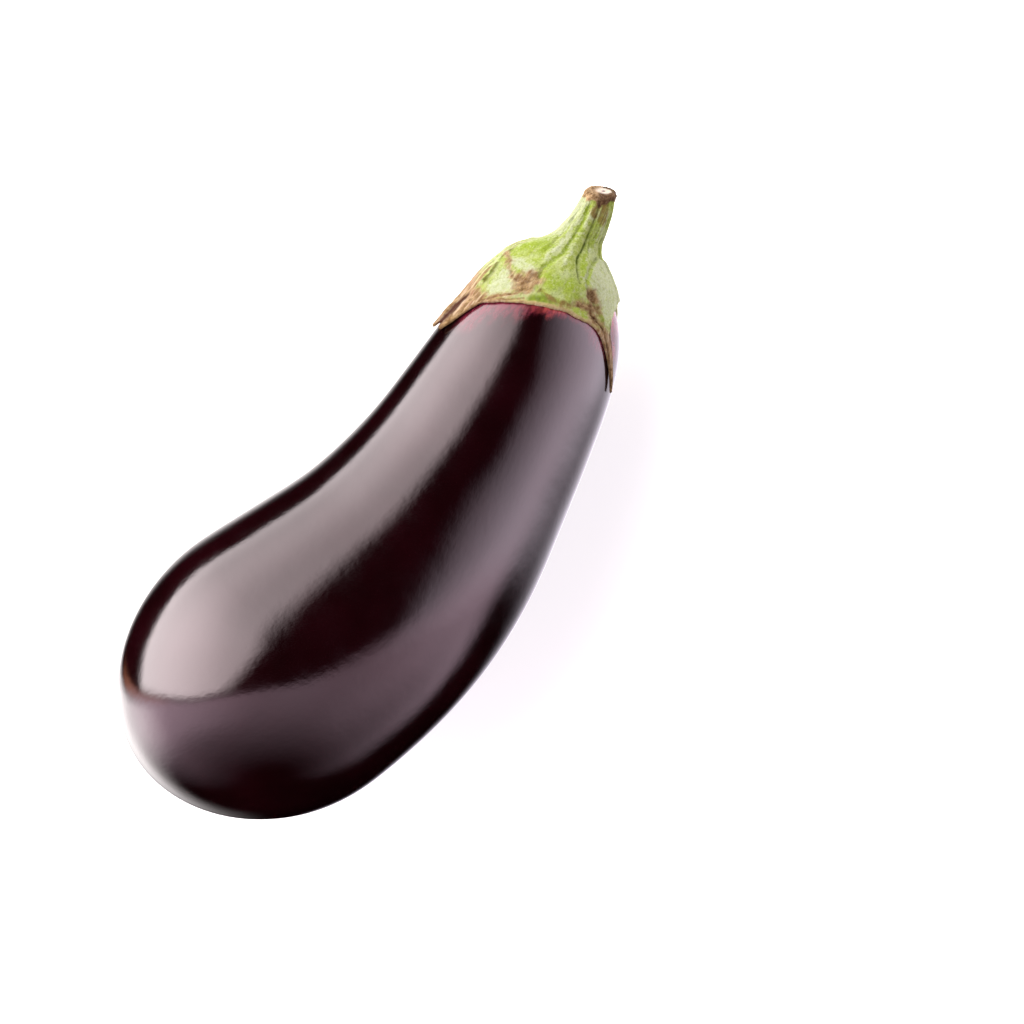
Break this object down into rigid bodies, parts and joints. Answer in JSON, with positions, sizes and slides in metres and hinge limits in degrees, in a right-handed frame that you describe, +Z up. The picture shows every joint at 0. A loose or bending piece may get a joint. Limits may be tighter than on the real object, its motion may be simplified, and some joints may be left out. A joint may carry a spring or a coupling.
{
  "type": "eggplant",
  "caption": "Glossy dark eggplant lying on its side, with a broad blossom end, a gently bent neck, a fleshy green calyx and a short cut stem",
  "frame": {"origin": "on the ground, below the middle of the bounding box of the whole part", "axes": "+X along the fruit from the blossom end to the stem, +Y towards the hollow side of its bend, +Z up"},
  "size_m": [0.222, 0.0932, 0.0894],
  "materials": {
    "skin": "near-black purple skin with a waxy gloss, pink where the calyx shaded it",
    "sepal": "matte pale green flesh with brown dried edges",
    "stalk": "matte ribbed green stalk with a corky cut end"
  },
  "bodies": {
    "root": {"fruit": "skin", "calyx": "sepal", "stem": "stalk"}
  },
  "joints": []
}
